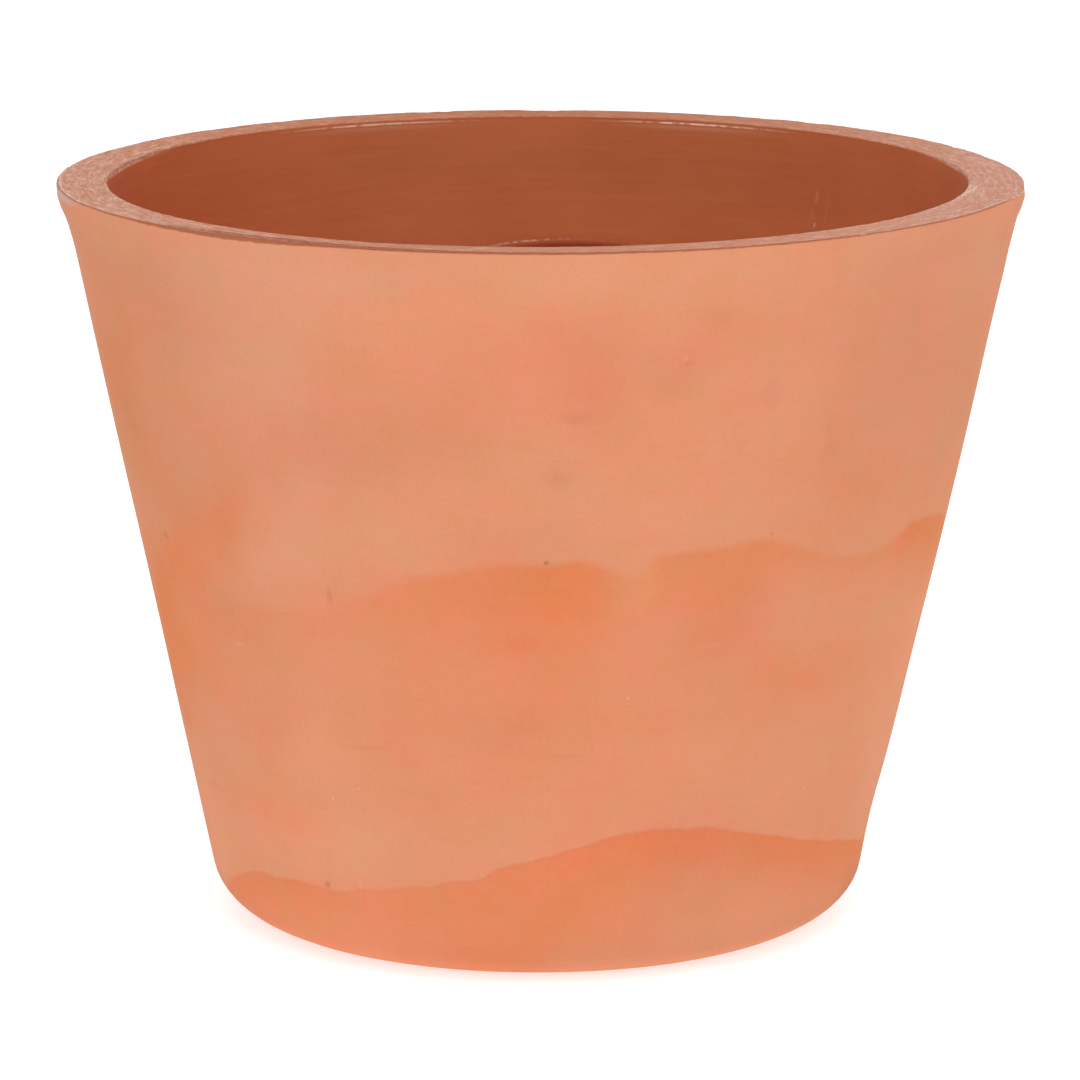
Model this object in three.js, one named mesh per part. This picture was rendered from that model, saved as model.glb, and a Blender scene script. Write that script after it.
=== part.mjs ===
// A plain tapered terracotta pot: one vessel of fired clay with a drain hole in its floor.
// Millimetres, +Z up. The origin is the centre of the foot, on the surface the pot stands on.

import * as THREE from "three";

// Outside
const RIM_DIAMETER = 200; // at the widest point of the lip
const HEIGHT = 155;
const GROUND_DIAMETER = 132.2; // the straight outer wall carried down to the ground
const LIP_FLARE = 0.8; // how far the lip stands out from the wall's straight line
const LIP_HEIGHT = 15; // the stretch below the rim over which the lip flares out
const OUTER_EDGE_RADIUS = 0.6;

// The large rounding where the wall turns under to the foot, wider than it is high
const FOOT_ROUNDING_WIDTH = 16;
const FOOT_ROUNDING_HEIGHT = 13;

// Inside
const RIM_THICKNESS = 11.2; // across the flat top of the rim
const INNER_EDGE_RADIUS = 0.6;
const FLOOR_THICKNESS = 13;
const INNER_CORNER_RADIUS = 12; // where the inner wall meets the floor

// Underside and drain hole
const RECESS_DIAMETER = 76; // the shallow hollow inside the foot ring, at its upper edge
const RECESS_DEPTH = 2;
const RECESS_BEVEL = 3; // how much wider the hollow is at its mouth, on each side
const DRAIN_DIAMETER = 24;
const DRAIN_EDGE_BEVEL = 1.5;

// Facets
const SEGMENTS_ROUND = 96;
const FOOT_STEPS = 6;
const LIP_STEPS = 3;
const EDGE_STEPS = 3;
const CORNER_STEPS = 4;

const CLAY_COLOUR = 0xe08f68;
const CLAY_ROUGHNESS = 0.85;

const rimRadius = RIM_DIAMETER / 2;
const lipTop = HEIGHT - OUTER_EDGE_RADIUS;
const lipStart = HEIGHT - LIP_HEIGHT;
const wallSlope = (rimRadius - LIP_FLARE - GROUND_DIAMETER / 2) / lipTop;
const wallAngle = Math.atan(wallSlope);

/** Radius of the straight outer wall at height z. */
function wallRadius(z) {
  return GROUND_DIAMETER / 2 + wallSlope * z;
}

/** Points along part of an ellipse in the (radius, height) plane, both ends included. Angles in radians. */
function arc(centreR, centreZ, sizeR, sizeZ, from, to, steps) {
  const points = [];
  for (let step = 0; step <= steps; step += 1) {
    const angle = from + ((to - from) * step) / steps;
    const r = centreR + sizeR * Math.cos(angle);
    const z = centreZ + sizeZ * Math.sin(angle);
    points.push(new THREE.Vector2(r, z));
  }
  return points;
}

/** From the flat foot, round the turn of the foot, to where the straight wall begins. */
function footRounding() {
  const width = FOOT_ROUNDING_WIDTH;
  const height = FOOT_ROUNDING_HEIGHT;
  const tangent = Math.atan((wallSlope * height) / width);
  const tangentZ = height * (1 - Math.sin(tangent));
  const centreR = wallRadius(tangentZ) - width * Math.cos(tangent);
  return arc(centreR, height, width, height, -Math.PI / 2, -tangent, FOOT_STEPS);
}

/** The slight flare of the lip, an S from the wall's line to the rim's full radius. */
function lip() {
  const points = [];
  for (let step = 0; step < LIP_STEPS; step += 1) {
    const t = step / LIP_STEPS;
    const z = lipStart + (lipTop - lipStart) * t;
    points.push(new THREE.Vector2(wallRadius(z) + LIP_FLARE * t * t * (3 - 2 * t), z));
  }
  return points;
}

/** The rim: its rounded outer edge, its flat top and its rounded inner edge. */
function rim() {
  const quarter = Math.PI / 2;
  const outerCentre = rimRadius - OUTER_EDGE_RADIUS;
  const innerCentre = rimRadius - RIM_THICKNESS + INNER_EDGE_RADIUS;
  const innerZ = HEIGHT - INNER_EDGE_RADIUS;
  return [
    ...arc(outerCentre, lipTop, OUTER_EDGE_RADIUS, OUTER_EDGE_RADIUS, 0, quarter, EDGE_STEPS),
    ...arc(innerCentre, innerZ, INNER_EDGE_RADIUS, INNER_EDGE_RADIUS, quarter, 2 * quarter, EDGE_STEPS),
  ];
}

/** The round corner between the inner wall, which runs parallel to the outer one, and the floor. */
function innerCorner() {
  const radius = INNER_CORNER_RADIUS;
  const centreZ = FLOOR_THICKNESS + radius;
  const wallTopR = rimRadius - RIM_THICKNESS;
  const wallTopZ = HEIGHT - INNER_EDGE_RADIUS;
  const tangentZ = centreZ - radius * Math.sin(wallAngle);
  const tangentR = wallTopR - (wallTopZ - tangentZ) * wallSlope;
  const centreR = tangentR - radius * Math.cos(wallAngle);
  return arc(centreR, centreZ, radius, radius, -wallAngle, -Math.PI / 2, CORNER_STEPS);
}

/** The drain hole with its eased edges, from the floor down to the roof of the recess. */
function drainHole() {
  const radius = DRAIN_DIAMETER / 2;
  return [
    new THREE.Vector2(radius + DRAIN_EDGE_BEVEL, FLOOR_THICKNESS),
    new THREE.Vector2(radius, FLOOR_THICKNESS - DRAIN_EDGE_BEVEL),
    new THREE.Vector2(radius, RECESS_DEPTH + DRAIN_EDGE_BEVEL),
    new THREE.Vector2(radius + DRAIN_EDGE_BEVEL, RECESS_DEPTH),
  ];
}

/** The shallow hollow under the floor, which leaves a flat foot ring to stand on. */
function recess() {
  return [
    new THREE.Vector2(RECESS_DIAMETER / 2, RECESS_DEPTH),
    new THREE.Vector2(RECESS_DIAMETER / 2 + RECESS_BEVEL, 0),
  ];
}

/** The whole section, up the outside, over the rim, down the inside and back along the underside. */
function potSection() {
  const section = [...footRounding(), ...lip(), ...rim(), ...innerCorner(), ...drainHole(), ...recess()];
  section.push(section[0].clone());
  return section;
}

function makePot() {
  const geometry = new THREE.LatheGeometry(potSection(), SEGMENTS_ROUND);
  geometry.rotateX(Math.PI / 2);
  const clay = new THREE.MeshStandardMaterial({
    color: CLAY_COLOUR,
    roughness: CLAY_ROUGHNESS,
    metalness: 0,
  });
  const pot = new THREE.Mesh(geometry, clay);
  pot.name = "pot";
  return pot;
}

const assembly = new THREE.Group();
assembly.add(makePot());

export default assembly;
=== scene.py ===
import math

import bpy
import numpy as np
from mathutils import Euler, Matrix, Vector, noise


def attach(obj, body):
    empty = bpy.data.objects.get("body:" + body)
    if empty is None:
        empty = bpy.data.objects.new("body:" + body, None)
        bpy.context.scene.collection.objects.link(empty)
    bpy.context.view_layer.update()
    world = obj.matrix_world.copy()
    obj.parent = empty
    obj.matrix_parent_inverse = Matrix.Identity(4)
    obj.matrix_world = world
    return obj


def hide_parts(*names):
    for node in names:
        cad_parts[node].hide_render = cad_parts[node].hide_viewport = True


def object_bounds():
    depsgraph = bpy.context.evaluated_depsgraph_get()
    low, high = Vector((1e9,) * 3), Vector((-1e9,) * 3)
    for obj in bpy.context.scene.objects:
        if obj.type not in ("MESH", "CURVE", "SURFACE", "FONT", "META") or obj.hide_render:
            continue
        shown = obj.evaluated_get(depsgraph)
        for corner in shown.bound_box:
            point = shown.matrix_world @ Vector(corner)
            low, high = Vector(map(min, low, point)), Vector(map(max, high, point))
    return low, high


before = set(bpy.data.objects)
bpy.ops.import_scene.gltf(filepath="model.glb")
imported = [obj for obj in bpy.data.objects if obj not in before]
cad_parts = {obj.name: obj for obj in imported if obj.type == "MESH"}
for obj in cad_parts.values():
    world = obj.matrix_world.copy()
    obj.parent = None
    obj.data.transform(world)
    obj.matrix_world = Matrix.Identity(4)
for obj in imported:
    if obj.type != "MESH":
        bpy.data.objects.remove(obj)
cad_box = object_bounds()

# A plain tapered terracotta pot: one vessel of unglazed fired clay, with a granular sawn-looking rim,
# a dark unweathered inside, and a pale lime bloom on the outside that two old tide lines cut across.
# The outline and every mark on it are worked out in millimetres. Azimuths are in degrees, seen from
# above: 0 faces the camera, 90 is the pot's right-hand side and 180 its back.

MM = 0.001

# ------------------------------------------------------------------------------------------ sizes

POT_SIZE = (cad_box[1] - cad_box[0]) / MM
RIM_RADIUS = POT_SIZE.x / 2
HEIGHT = POT_SIZE.z

WALL_RADIUS_AT_GROUND = 66.1  # the straight outer wall carried down to the ground
LIP_FLARE = 0.8
LIP_HEIGHT = 15.0
OUTER_EDGE_RADIUS = 0.5
FOOT_ROUNDING_WIDTH = 16.0
FOOT_ROUNDING_HEIGHT = 13.0

RIM_THICKNESS = 11.2
INNER_EDGE_RADIUS = 0.6
FLOOR_THICKNESS = 13.0
INNER_CORNER_RADIUS = 12.0

RECESS_RADIUS = 38.0
RECESS_DEPTH = 2.0
RECESS_BEVEL = 3.0
FOOT_RING_RADIUS = 46.0  # the middle of the flat ring that the pot stands on
DRAIN_RADIUS = 12.0
DRAIN_EDGE = 1.5

LIP_START = HEIGHT - LIP_HEIGHT
LIP_TOP = HEIGHT - OUTER_EDGE_RADIUS
WALL_SLOPE = (RIM_RADIUS - LIP_FLARE - WALL_RADIUS_AT_GROUND) / LIP_TOP
WALL_ANGLE = math.atan(WALL_SLOPE)

# Hand-made unevenness
LEAN = -0.85  # how far the foot stands to the left of the rim
MOUTH_OFFSET = -0.85  # how far the mouth's circle stands to the left of the rim's outer circle

# Painted light at the very foot: the clay there is painted lighter against the shade where the wall turns under.
FOOT_PAINTED_LIGHT = 0.32  # how much lighter the clay is at the very foot, and up to what height
FOOT_PAINTED_LIGHT_HEIGHT = 4.0

# Painted light on the inside: how much lighter it is painted at the sides and deeper down, against the shade there,
# and how much more orange at the sides, against the pale sheen there at grazing angles
INSIDE_LEFT_PAINTED_LIGHT = 0.05
INSIDE_RIGHT_PAINTED_LIGHT = 0.11
INSIDE_DEEP_PAINTED_LIGHT = 0.10
INSIDE_LEFT_ORANGE = 0.8
INSIDE_RIGHT_ORANGE = 0.3

# How much darker a more orange clay is in green and in blue
ORANGE_IN_GREEN = 0.387
ORANGE_IN_BLUE = 0.737

# Facets around the pot: fine on the granular rim, coarser where the surface is smooth or out of sight
FINE = 960
MEDIUM = 480
COARSE = 240


def line(start, end, steps):
    """Points from start up to, but not including, end."""
    return [(start[0] + (end[0] - start[0]) * i / steps, start[1] + (end[1] - start[1]) * i / steps)
            for i in range(steps)]


def arc(centre, size, start, end, steps):
    """Points along part of an ellipse from one angle up to, but not including, another, in radians."""
    angles = [start + (end - start) * i / steps for i in range(steps)]
    return [(centre[0] + size[0] * math.cos(a), centre[1] + size[1] * math.sin(a)) for a in angles]


def wall_radius(z):
    return WALL_RADIUS_AT_GROUND + WALL_SLOPE * z


def lip_points(start, end, steps):
    """Part of the lip's slight flare, an S from the wall's line at 0 to the rim's full radius at 1."""
    points = []
    for i in range(steps):
        t = start + (end - start) * i / steps
        z = LIP_START + (LIP_TOP - LIP_START) * t
        points.append((wall_radius(z) + LIP_FLARE * t * t * (3 - 2 * t), z))
    return points


def outline():
    """The section's stretches in order, up the outside, over the rim, down the inside and back
    along the underside: each is its points, its facets around, and how much it looks like rim,
    inside and underside at its start and at its end."""
    quarter = math.pi / 2
    tangent = math.atan(WALL_SLOPE * FOOT_ROUNDING_HEIGHT / FOOT_ROUNDING_WIDTH)
    foot_top = FOOT_ROUNDING_HEIGHT * (1 - math.sin(tangent))
    foot_centre = wall_radius(foot_top) - FOOT_ROUNDING_WIDTH * math.cos(tangent)
    foot_size = (FOOT_ROUNDING_WIDTH, FOOT_ROUNDING_HEIGHT)
    outer_centre = RIM_RADIUS - OUTER_EDGE_RADIUS
    inner_radius = RIM_RADIUS - RIM_THICKNESS
    inner_centre = inner_radius + INNER_EDGE_RADIUS
    inner_top = HEIGHT - INNER_EDGE_RADIUS
    corner_z = FLOOR_THICKNESS + INNER_CORNER_RADIUS
    corner_top = corner_z - INNER_CORNER_RADIUS * math.sin(WALL_ANGLE)
    corner_wall = inner_radius - (inner_top - corner_top) * WALL_SLOPE
    corner_r = corner_wall - INNER_CORNER_RADIUS * math.cos(WALL_ANGLE)
    corner_size = (INNER_CORNER_RADIUS, INNER_CORNER_RADIUS)

    def inner_wall(depth):
        return (inner_radius - depth * WALL_SLOPE, inner_top - depth)

    recess_mouth = (RECESS_RADIUS + RECESS_BEVEL, 0.0)
    recess_roof = (RECESS_RADIUS, RECESS_DEPTH)
    outer_wall = line((wall_radius(foot_top), foot_top), (wall_radius(LIP_START), LIP_START), 54)
    outer = (0, 0, 0)
    rim = (1, 0, 0)
    inside = (0, 1, 0)
    under = (0, 0, 1)
    return [
        (line(recess_mouth, (foot_centre, 0.0), 4), COARSE, under, under),
        (arc((foot_centre, FOOT_ROUNDING_HEIGHT), foot_size, -quarter, -tangent, 12), MEDIUM, outer, outer),
        (outer_wall, MEDIUM, outer, outer),
        (lip_points(0.0, 0.85, 7), MEDIUM, outer, outer),
        (lip_points(0.85, 1.0, 5), FINE, outer, outer),
        (arc((outer_centre, LIP_TOP), (OUTER_EDGE_RADIUS,) * 2, 0, quarter, 4), FINE, outer, rim),
        (line((outer_centre, HEIGHT), (inner_centre, HEIGHT), 18), FINE, rim, rim),
        (arc((inner_centre, inner_top), (INNER_EDGE_RADIUS,) * 2, quarter, 2 * quarter, 4),
         FINE, rim, inside),
        (line(inner_wall(0), inner_wall(2.4), 10), MEDIUM, inside, inside),
        (line(inner_wall(2.4), inner_wall(36), 20), MEDIUM, inside, inside),
        (line(inner_wall(36), (corner_wall, corner_top), 32), COARSE, inside, inside),
        (arc((corner_r, corner_z), corner_size, -WALL_ANGLE, -quarter, 8), COARSE, inside, inside),
        (line((corner_r, FLOOR_THICKNESS), (DRAIN_RADIUS + DRAIN_EDGE, FLOOR_THICKNESS), 14),
         COARSE, inside, inside),
        (arc((DRAIN_RADIUS + DRAIN_EDGE, FLOOR_THICKNESS - DRAIN_EDGE), (DRAIN_EDGE,) * 2,
             quarter, 2 * quarter, 4), COARSE, inside, inside),
        (line((DRAIN_RADIUS, FLOOR_THICKNESS - DRAIN_EDGE), (DRAIN_RADIUS, RECESS_DEPTH + DRAIN_EDGE), 4),
         COARSE, inside, under),
        (arc((DRAIN_RADIUS + DRAIN_EDGE, RECESS_DEPTH + DRAIN_EDGE), (DRAIN_EDGE,) * 2,
             2 * quarter, 3 * quarter, 4), COARSE, under, under),
        (line((DRAIN_RADIUS + DRAIN_EDGE, RECESS_DEPTH), recess_roof, 10), COARSE, under, under),
        (line(recess_roof, recess_mouth, 4), COARSE, under, under),
    ]


class Rings:
    """The outline as rings, one row for each: where it lies, which way its surface faces, how far
    along the outline it is, its facets around, and its rim, inside and underside weights."""

    def __init__(self):
        points, counts, weights = [], [], []
        for stretch, around, first, last in outline():
            for i, point in enumerate(stretch):
                t = i / len(stretch)
                points.append(point)
                counts.append(around)
                weights.append([a + (b - a) * t for a, b in zip(first, last)])
        self.points = np.array(points)
        self.counts = counts
        self.weights = np.array(weights)
        before = self.points - np.roll(self.points, 1, axis=0)
        after = np.roll(self.points, -1, axis=0) - self.points
        tangent = before / np.linalg.norm(before, axis=1)[:, None]
        tangent = tangent + after / np.linalg.norm(after, axis=1)[:, None]
        tangent = tangent / np.linalg.norm(tangent, axis=1)[:, None]
        self.normals = np.stack([tangent[:, 1], -tangent[:, 0]], axis=1)
        steps = np.linalg.norm(before, axis=1)
        steps[0] = 0.0
        self.along = np.cumsum(steps)


# ------------------------------------------------------------------------------------------ marks

# Tide lines left by standing water. At each azimuth: the line's height, how strongly the clay
# shows under it, how far down that fades, and how blurred its edge is. The lower line also has
# how dark its own thin edge is. Given for the front, and carried on round the back.
LOWER_TIDE = [
    (-180, 19, 0.45, 10, 0.8, 0.0), (-155, 12, 0.4, 9, 0.6, 0.2), (-130, 14, 0.45, 10, 0.5, 0.3),
    (-105, 15, 0.5, 9, 0.8, 0.0), (-88, 8, 0.4, 8, 1.6, 0.0), (-76, 7.5, 0.45, 10, 1.6, 0.0),
    (-66, 13.3, 0.55, 14, 0.7, 0.0), (-55, 17.5, 0.58, 16, 0.35, 0.1), (-45, 18.0, 0.55, 18, 0.35, 0.1),
    (-38, 17.6, 0.42, 20, 0.4, 0.0), (-27, 19.6, 0.4, 20, 0.6, 0.0), (-17, 22, 0.42, 20, 0.5, 0.1),
    (-9.5, 23.6, 0.44, 24, 0.5, 0.3), (-6, 26.5, 0.46, 24, 0.5, 0.3), (0, 28.5, 0.50, 24, 0.5, 0.3),
    (8, 31.3, 0.58, 17, 0.6, 0.35), (16, 33.7, 0.58, 13, 0.8, 0.4), (26, 33.5, 0.58, 11, 0.8, 0.35),
    (35, 30.8, 0.60, 10, 0.6, 0.25), (45, 27.1, 0.60, 10, 0.4, 0.1), (57, 23.5, 0.62, 10, 0.4, 0.0),
    (70, 19.7, 0.62, 10, 0.4, 0.0), (78, 17.6, 0.6, 9, 0.5, 0.0), (100, 13, 0.5, 9, 0.6, 0.2),
    (130, 19, 0.5, 11, 0.4, 0.5), (155, 26, 0.5, 14, 0.5, 0.4),
]
MIDDLE_TIDE = [
    (-180, 96, 0.35, 12, 1.2), (-150, 101, 0.45, 18, 0.9), (-125, 92, 0.35, 14, 1.4),
    (-100, 84, 0.1, 12, 2.5), (-60, 77, 0.0, 10, 3.0), (-51, 76.5, 0.14, 8, 2.4), (-42, 77.8, 0.26, 9, 1.8),
    (-31, 79.6, 0.24, 9, 2.2), (-25, 82.8, 0.26, 10, 2.2), (-20, 86.6, 0.34, 14, 1.8),
    (-10, 90.6, 0.45, 17, 1.5), (-3, 91.0, 0.52, 19, 1.2), (2, 91.7, 0.64, 20, 1.0),
    (7, 92.5, 0.6, 18, 1.1), (10.5, 90, 0.25, 14, 1.7), (13.5, 88, 0.1, 10, 1.6),
    (14.6, 92.6, 0.42, 13, 0.9), (24, 93.3, 0.48, 14, 1.0), (31, 95.0, 0.48, 14, 1.1), (34, 93.3, 0.38, 10, 1.2),
    (37, 91.5, 0.28, 6, 1.0), (45, 87.5, 0.3, 6, 1.0), (52, 87, 0.3, 6, 1.1), (58, 88.8, 0.35, 7, 1.1),
    (61, 91, 0.62, 8, 0.7), (70, 90, 0.64, 9, 0.8), (80, 87.5, 0.6, 8, 1.0), (105, 80, 0.35, 10, 1.6),
    (135, 88, 0.4, 14, 1.2), (160, 92, 0.3, 10, 2.0),
]

# Soft patches in the bloom: azimuth, height, half-width in degrees, half-height, rise in millimetres
# for each degree, and how much more orange, lighter and more ochre (or, if negative, pinker) they are.
# The lighter amounts also hold painted light and shade: lighter low on the left and right sides,
# darker high on them under the rim.
PATCHES = [
    (-62, 81, 17, 8, 0.70, 0.46, 0.02, 0.04), (-44, 101, 8, 7, 0.90, 0.16, 0.00, 0.00),
    (-70, 60, 19, 9, 0.35, 0.42, 0.04, 0.03), (-40, 89, 9, 7, 0.15, -0.14, 0.02, 0.00),
    (-26, 96, 14, 6, 0.10, -0.10, 0.00, 0.02), (-69, 119, 13, 20, 0.00, 0.18, -0.02, 0.06),
    (-38, 130, 13, 16, 0.00, -0.14, 0.00, -0.02), (-30, 28, 10, 7, 0.15, -0.24, 0.02, 0.00),
    (0, 57, 36, 13, 0.00, 0.13, 0.00, 0.00), (4, 135, 30, 12, 0.00, 0.06, 0.00, 0.00),
    (24, 74, 8, 6, -0.20, 0.16, -0.03, 0.00), (40, 64, 13, 5, -0.30, 0.20, 0.00, 0.00),
    (64, 61, 14, 7, -0.20, 0.08, 0.02, 0.03), (50, 100, 10, 7, -0.20, 0.10, 0.00, 0.00),
    (52, 76, 11, 6, 0.00, -0.08, 0.00, 0.01), (60, 146, 22, 8, 0.00, -0.10, 0.00, 0.00),
    (-6, 6, 12, 6, 0.35, 0.18, 0.00, 0.00), (-32, 114, 10, 10, 0.20, 0.00, -0.05, -0.07),
    (-4, 133, 24, 6, 0.10, 0.02, -0.03, -0.06), (-24, 85, 6, 3, 0.30, 0.00, -0.02, -0.05),
    (20, 91, 6, 3, 0.00, 0.00, -0.02, 0.07), (4, 81, 5, 6, 0.00, 0.06, 0.04, 0.00),
    (29, 77, 5, 5, 0.00, 0.00, -0.04, -0.07), (70, 86, 12, 4, -0.15, 0.00, 0.00, 0.09),
    (2, 28, 8, 5, 0.30, 0.00, 0.00, -0.05), (16, 16, 7, 6, 0.50, 0.00, -0.02, -0.08),
    (-30, 13, 9, 6, 0.10, 0.00, 0.02, -0.07), (50, 128, 17, 24, 0.00, 0.00, -0.08, -0.02),
    (36, 25, 16, 6, -0.40, 0.00, -0.02, -0.04), (-45, 54, 8, 5, 0.20, 0.00, -0.03, -0.06),
    (-72, 45, 15, 36, 0.00, 0.00, 0.02, 0.02), (73, 45, 13, 42, 0.00, 0.00, 0.04, 0.02),
    (-4, 56, 8, 5, 0.10, 0.00, -0.05, -0.01), (-2, 97, 9, 4, 0.10, 0.00, -0.04, -0.02),
    (-54, 138, 11, 9, 0.10, 0.00, -0.04, 0.00), (-75, 68, 8, 22, 0.00, 0.25, 0.00, 0.00),
    (-74, 122, 9, 17, 0.00, 0.20, 0.00, 0.00), (-4, 76, 5, 4, 0.00, 0.20, 0.00, 0.00),
    (26, 84, 6, 4, 0.00, 0.10, 0.00, 0.00), (55, 80, 6, 4, 0.00, 0.12, 0.00, 0.00),
    (52, 103, 7, 5, 0.00, 0.10, 0.00, 0.00), (27, 26, 3, 3, 0.00, 0.15, 0.00, 0.00),
    (-14, 55, 5, 10, 0.00, 0.10, 0.00, 0.00), (-40, 130, 11, 18, 0.00, -0.15, 0.00, 0.00),
    (-34, 104, 5, 5, 0.00, -0.15, 0.00, -0.04), (-20, 148, 10, 3, 0.00, -0.15, 0.00, 0.00),
    (-40, 75, 10, 5, 0.00, -0.12, 0.00, 0.00), (17, 79, 4, 4, 0.00, -0.15, 0.00, 0.00),
    (5, 26, 6, 4, 0.00, -0.08, 0.00, -0.06), (-10, 14, 6, 5, 0.00, -0.06, 0.00, -0.04),
    (-14, 136, 7, 3, 0.00, 0.00, 0.00, 0.06), (-35, 127, 6, 4, 0.00, 0.00, 0.00, 0.06),
    (-75, 100, 6, 11, 0.00, 0.00, 0.00, 0.05), (74, 87, 5, 8, 0.00, 0.00, 0.00, 0.05),
    (-10, 123, 6, 5, 0.00, 0.00, 0.00, -0.06), (6, 125, 5, 7, 0.00, 0.00, 0.00, -0.07),
    (18, 135, 4, 4, 0.00, 0.00, 0.00, -0.05), (25, 93, 3, 2, 0.00, 0.00, 0.00, -0.04),
    (-2, 65, 12, 14, 0.00, 0.00, 0.00, -0.03), (31, 71, 4, 3, 0.00, 0.00, 0.00, -0.04),
    (112, 64, 22, 9, 0.20, 0.30, 0.00, 0.02), (150, 120, 26, 12, -0.20, 0.16, 0.00, 0.00),
    (-158, 66, 24, 10, -0.15, 0.26, 0.00, 0.00), (-118, 128, 20, 9, 0.20, 0.18, -0.03, 0.05),
    (-100, 66, 14, 9, 0.10, 0.30, 0.02, 0.02), (176, 40, 22, 9, 0.10, -0.22, 0.02, 0.00),
    (130, 42, 20, 8, -0.10, -0.16, 0.00, -0.04), (-135, 112, 16, 8, 0.10, -0.20, 0.02, -0.04),
    (170, 138, 20, 9, 0.00, -0.14, 0.00, 0.03), (95, 112, 18, 16, 0.10, 0.06, -0.05, 0.03),
    (-70, 73, 10, 12, 0.00, 0.04, 0.00, 0.00), (-74, 50, 7, 6, 0.00, 0.20, 0.00, 0.00),
    (-71, 107, 9, 13, 0.00, 0.10, 0.00, 0.00), (-50, 33, 11, 4, 0.00, 0.10, 0.00, 0.00),
    (77, 95, 5, 36, 0.00, 0.15, 0.00, 0.00), (-33, 104, 4, 5, 0.00, -0.15, 0.00, 0.00),
    (-42, 146, 18, 5, 0.00, -0.15, 0.00, 0.00), (40, 102, 3, 5, 0.00, -0.12, 0.00, 0.00),
    (18.5, 74, 4, 5, 0.00, -0.15, 0.00, 0.00), (32.5, 70, 4, 5, 0.00, -0.12, 0.00, 0.00),
    (-49, 71, 4, 4, 0.00, -0.12, 0.00, 0.00), (22, 6, 18, 5, 0.00, -0.10, 0.00, 0.00),
    (-28, 12, 7, 5, 0.00, -0.08, 0.00, 0.00), (-55, 24, 20, 14, 0.00, 0.00, 0.04, 0.00),
    (-55, 145, 16, 8, 0.00, 0.00, -0.07, 0.00), (-47, 130, 8, 6, 0.00, 0.00, -0.05, 0.00),
    (-12, 120, 8, 11, 0.00, 0.00, -0.07, 0.00), (6.5, 125, 5, 9, 0.00, 0.00, -0.07, 0.00),
    (2.5, 109.5, 3, 3, 0.00, 0.00, -0.06, 0.00), (17.5, 128.5, 3, 4, 0.00, 0.00, -0.04, 0.00),
    (34, 120, 5, 11, 0.00, 0.00, 0.03, 0.00), (72, 116, 9, 18, 0.00, 0.00, -0.04, 0.00),
    (0, 83, 11, 12, 0.00, 0.00, -0.05, 0.00), (27, 23, 8, 12, 0.00, 0.00, -0.06, 0.00),
    (-37, 49, 8, 6, 0.00, 0.00, 0.05, 0.00), (-31.5, 77.5, 4, 3, 0.00, 0.00, 0.00, -0.05),
    (-5, 77, 13, 7, 0.00, 0.00, 0.00, -0.05), (12, 80.5, 13, 3, 0.00, 0.00, 0.00, -0.05),
    (25, 71.5, 6, 4, 0.00, 0.00, 0.00, -0.05), (19, 30, 11, 3, 0.00, 0.00, 0.00, -0.05),
    (0, 16, 6, 5, 0.00, 0.00, 0.00, -0.05), (30, 88, 3, 8, 0.00, 0.00, 0.00, 0.05),
    (23, 82, 5, 4, 0.00, 0.00, 0.00, -0.04), (73, 50, 10, 34, 0.00, 0.00, 0.03, 0.00),
    (-72, 120, 10, 26, 0.00, 0.00, -0.04, 0.00), (21, 139, 5, 4, 0.00, 0.05, 0.00, -0.05),
    (40, 90, 26, 55, 0.00, 0.00, -0.033, 0.00), (-52, 107, 12, 20, 0.00, 0.00, -0.045, 0.00),
    (-14, 134, 8, 8, 0.00, 0.00, 0.04, 0.00), (12.8, 88.5, 2, 4, 0.00, 0.00, 0.06, 0.00),
    (-41, 30, 9, 12, 0.00, 0.00, 0.04, 0.00), (-45, 6, 24, 5, 0.00, 0.00, 0.09, 0.00),
    (-75, 74, 7, 11, 0.00, 0.08, 0.00, 0.00), (67, 80, 8, 6, -0.15, 0.15, 0.00, 0.00),
    (-56, 97, 9, 6, 0.00, 0.06, -0.02, 0.00), (24, 62, 10, 5, 0.00, 0.00, -0.02, 0.00),
    (48, 90, 6, 5, 0.00, 0.10, 0.00, 0.00), (-76, 130, 6, 20, 0.00, 0.04, 0.00, 0.00),
    (76, 85, 5, 34, 0.00, 0.05, 0.035, 0.02), (5, 84, 6, 3, 0.00, 0.06, 0.02, 0.04),
    (-79, 148, 9, 7, 0.00, -0.10, -0.06, 0.04), (79, 148, 8, 7, 0.00, 0.00, -0.06, 0.00),
    (-70, 17, 8, 8, 0.00, 0.00, 0.05, 0.00), (76, 6, 7, 5, 0.00, 0.00, -0.16, 0.00),
    (2, 76, 6, 6, 0.00, 0.00, 0.00, 0.06), (44, 45, 7, 6, 0.00, 0.00, 0.00, 0.06),
    (3, 30, 5, 5, 0.00, 0.00, 0.00, 0.06), (-73, 58, 6, 7, 0.00, 0.00, 0.00, 0.05),
    (64, 45, 8, 6, 0.00, 0.00, 0.00, 0.05), (70, 116, 7, 7, 0.00, 0.00, 0.00, 0.05),
    (61, 102, 6, 6, 0.00, 0.00, 0.00, 0.045), (60, 16, 7, 6, 0.00, 0.00, 0.00, 0.045),
    (17, 135, 6, 6, 0.00, 0.00, -0.05, 0.02), (-16, 150, 7, 5, 0.00, 0.00, -0.03, 0.00),
    (-26, 115, 7, 7, 0.00, 0.00, -0.04, 0.00), (-50, 72, 7, 6, 0.00, 0.00, -0.04, 0.00),
    (54, 150, 12, 5, 0.00, 0.00, -0.05, 0.00), (-74, 26, 6, 12, 0.00, 0.00, 0.045, 0.00),
    (-61, 56, 7, 7, 0.00, 0.15, 0.00, 0.00), (-5, 151, 36, 4, 0.00, -0.14, 0.00, 0.00),
    (-45, 8, 14, 5, 0.00, -0.10, 0.00, 0.00), (-77, 6, 8, 5, 0.00, 0.00, -0.07, 0.00),
]

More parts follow.
